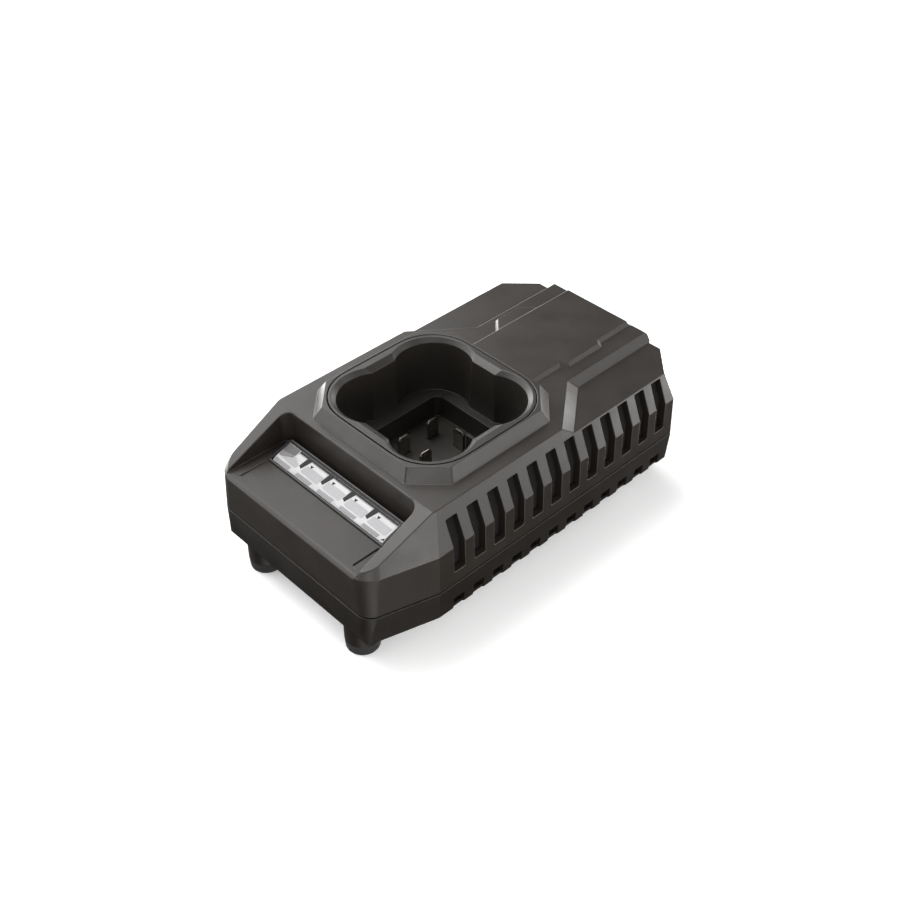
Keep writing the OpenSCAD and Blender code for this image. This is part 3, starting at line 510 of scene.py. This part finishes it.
# Painted highlights: light lines where the bezel's rounded edges catch the light, at the back and
# the front
BEZEL_BACK_HIGHLIGHT = [(-22.2, 5.6), (22.2, 5.6), (22.2, 5.8), (-22.2, 5.8)]
BEZEL_FRONT_HIGHLIGHT = [(-22.2, 0.42), (22.2, 0.42), (22.2, 0.62), (-22.2, 0.62)]


def rounded(corners, r):
    """The outline with each corner rounded by a curve that starts r before it."""
    ring = []
    for i, corner in enumerate(corners):
        here = Vector(corner)
        a = (Vector(corners[i - 1]) - here).normalized()
        b = (Vector(corners[(i + 1) % len(corners)]) - here).normalized()
        for t in (0, 0.25, 0.5, 0.75, 1):
            ring.append(here + a * r * (1 - t) ** 2 + b * r * t ** 2)
    return ring


def plate(name, corners, face, look, slot, r=0.0, up=0.05, down=0.12):
    """A thin plate on a face, which is an origin and the direction up the face."""
    origin, rise = face
    along = Vector((1, 0, 0))
    n = along.cross(rise).normalized()
    ring = rounded(corners, r) if r else corners
    low, high = ([origin + (along * u + rise * v + n * h) * MM for u, v in ring]
                 for h in (-down, up))
    piece = solid(name, low, high, look, slot)
    break_edges(piece, 0.02, steps=2, harden=True)


def dress_window():
    lo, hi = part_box("status_lens")
    crease = Vector((0, lo.y + STEEP_RUN * MM, hi.z - SLOPE_RISE * MM))
    back = Vector((0, hi.y, hi.z))
    front = Vector((0, lo.y, crease.z - STEEP_RISE * MM))
    slope = crease, (back - crease).normalized()
    steep = front, (crease - front).normalized()
    rim = Vector((0, lo.y - RIM * MM, front.z + 0.15 * MM)), RIM_SLOPE
    for i in range(SEGMENTS):
        left = (i - SEGMENTS / 2) * SEGMENT_PITCH

        def here(shape):
            return [(left + u, v) for u, v in shape]

        # Painted light: a lighter strip at the back of the cell
        plate(f"status_strip_{i + 1}", here(STRIP if i else FIRST_STRIP), slope, "painted_light", "lens",
              r=0.12)
        plate(f"status_panel_{i + 1}", here(PANEL if i else FIRST_PANEL), slope, "frost", "lens",
              r=0.5)
        # Painted shadow: grey patch on the steep face of the cell
        plate(f"status_shadow_{i + 1}", here(SHADOW_PATCH), steep, "lens_grey", "lens", r=0.25)
        if i:
            plate(f"status_mark_{i + 1}", here(MARK), slope, "bezel", "black_plastic", up=0.08)
            plate(f"status_divider_{i}", here(DIVIDER), slope, "bezel", "black_plastic",
                  r=0.15, up=0.07)
    plate("status_notch", NOTCH, steep, "bezel", "black_plastic", r=0.1, up=0.06)
    plate("status_rear", REAR_BAND, slope, "bezel", "lens", up=0.03)
    plate("status_line", REAR_LINE, slope, "lens_grey", "lens", up=0.06)
    # Painted reflection of the dark tray wall, in the left corner of the window
    plate("status_corner", CORNER_REAR, slope, "painted_grey", "lens", r=0.4, up=0.06)
    plate("status_corner_front", CORNER_FRONT, slope, "painted_reflection", "lens", r=0.4)
    # Painted highlights along the bezel's back and front edges
    plate("status_back_highlight", BEZEL_BACK_HIGHLIGHT, slope, "painted_grey", "black_plastic", up=-0.07, down=0.25)
    plate("status_front_highlight", BEZEL_FRONT_HIGHLIGHT, rim, "painted_grey", "black_plastic", up=0.04)


dress_window()


# ---- Floor ---------------------------------------------------------------------------
FLOOR_HALF = 3
FLOOR_GLOW = 0.2


def make_floor():
    mesh = bpy.data.meshes.new("floor")
    bm = bmesh.new()
    bmesh.ops.create_grid(bm, x_segments=2, y_segments=2, size=FLOOR_HALF)
    bm.to_mesh(mesh)
    bm.free()
    floor = bpy.data.objects.new("floor", mesh)
    scene.collection.objects.link(floor)
    g = Graph("floor")
    tone = g.noise(0.4, 2)
    g.finish(g.mix(g.remap(tone, 0, 1), (0.9, 0.9, 0.895), (0.92, 0.92, 0.915)),
             g.remap(tone, 0.85, 0.9))
    g.bsdf.inputs["Emission Color"].default_value = (1, 1, 1, 1)
    g.bsdf.inputs["Emission Strength"].default_value = FLOOR_GLOW
    mesh.materials.append(g.mat)
    floor.visible_diffuse = False
    floor.visible_glossy = False


# ---- Light -----------------------------------------------------------------------------
# Lobes of the surround: azimuth in degrees from +X towards +Y, height in degrees, sharpness,
# level. Each one stands where the named faces mirror it towards the camera.
LOBES = (
    (172, -9, 24, 9),  # left side of the pad round the well
    (172, 12, 24, 7),  # its lower part, by way of the deck
    (150, -10, 24, 5),  # left edge of the step
    (97, -15, 24, 22),  # right side of the pad
    (43, 33, 24, 2.9),  # front of the step
    (200, 64, 20, 5.4),  # crests of the wings beside the tray
    (332, 58, 24, 2),  # crease between the right wing and the side slope
    (43, 5, 24, 0.7),  # slats between the vents
    (315, -35, 24, 1.1),  # front right corner
    (341, -30, 24, 1.5),  # front right corner, further round
    (94, 16, 24, 2.3),  # slanted face beside the pad
    (180, 45, 8, 1.25),  # flat tops
    (340, 6, 8, 1.35),  # side slope at the front
    (225, 8, 8, 3.5),  # front bevel
)
LAMP_SIZE = 0.12
LAMP_AIM = Vector((0, 0, 0.03))
LAMPS = (
    # name, place, power in watts
    ("top", (-0.09, -0.01, 0.337), 0.33),
    ("left", (-0.213, 0.119, 0.237), 0.12),
    ("back", (0.25, 0.25, 0.02), 0.3),
    ("right", (0.308, 0.083, 0.057), 0.23),
    ("side", (0.319, -0.028, 0.041), 0.225),
    ("near_low", (0.173, -0.243, 0.145), 0.19),
    ("front", (0, -0.32, 0.045), 0.1),
)


def studio(lobes):
    """Broad soft cards all round, as lobes of a smooth surround."""
    world = bpy.data.worlds.new("studio")
    world.use_nodes = True
    tree = world.node_tree
    place = tree.nodes.new("ShaderNodeTexCoord").outputs["Generated"]

    def math_node(op, a, b):
        node = tree.nodes.new("ShaderNodeMath")
        node.operation = op
        tree.links.new(a, node.inputs[0])
        if isinstance(b, (int, float)):
            node.inputs[1].default_value = b
        else:
            tree.links.new(b, node.inputs[1])
        return node.outputs[0]

    total = None
    for azimuth, height, sharp, level in lobes:
        a, h = math.radians(azimuth), math.radians(height)
        dot = tree.nodes.new("ShaderNodeVectorMath")
        dot.operation = "DOT_PRODUCT"
        dot.inputs[1].default_value = (math.cos(a) * math.cos(h), math.sin(a) * math.cos(h),
                                       math.sin(h))
        tree.links.new(place, dot.inputs[0])
        value = dot.outputs["Value"]
        for op, k in (("MAXIMUM", 0), ("POWER", sharp), ("MULTIPLY", level)):
            value = math_node(op, value, k)
        total = value if total is None else math_node("ADD", total, value)
    background = tree.nodes["Background"]
    background.inputs["Color"].default_value = (1, 1, 1, 1)
    tree.links.new(total, background.inputs["Strength"])
    scene.world = world


def softbox(name, spot, power):
    data = bpy.data.lights.new(name, "AREA")
    data.shape = "SQUARE"
    data.size = LAMP_SIZE
    data.energy = power
    lamp = bpy.data.objects.new(name, data)
    lamp.location = spot
    lamp.rotation_mode = "QUATERNION"
    lamp.rotation_quaternion = (LAMP_AIM - Vector(spot)).to_track_quat("-Z", "Y")
    scene.collection.objects.link(lamp)


make_floor()
studio(LOBES)
for lamp in LAMPS:
    softbox(*lamp)
scene.view_settings.view_transform = "Standard"
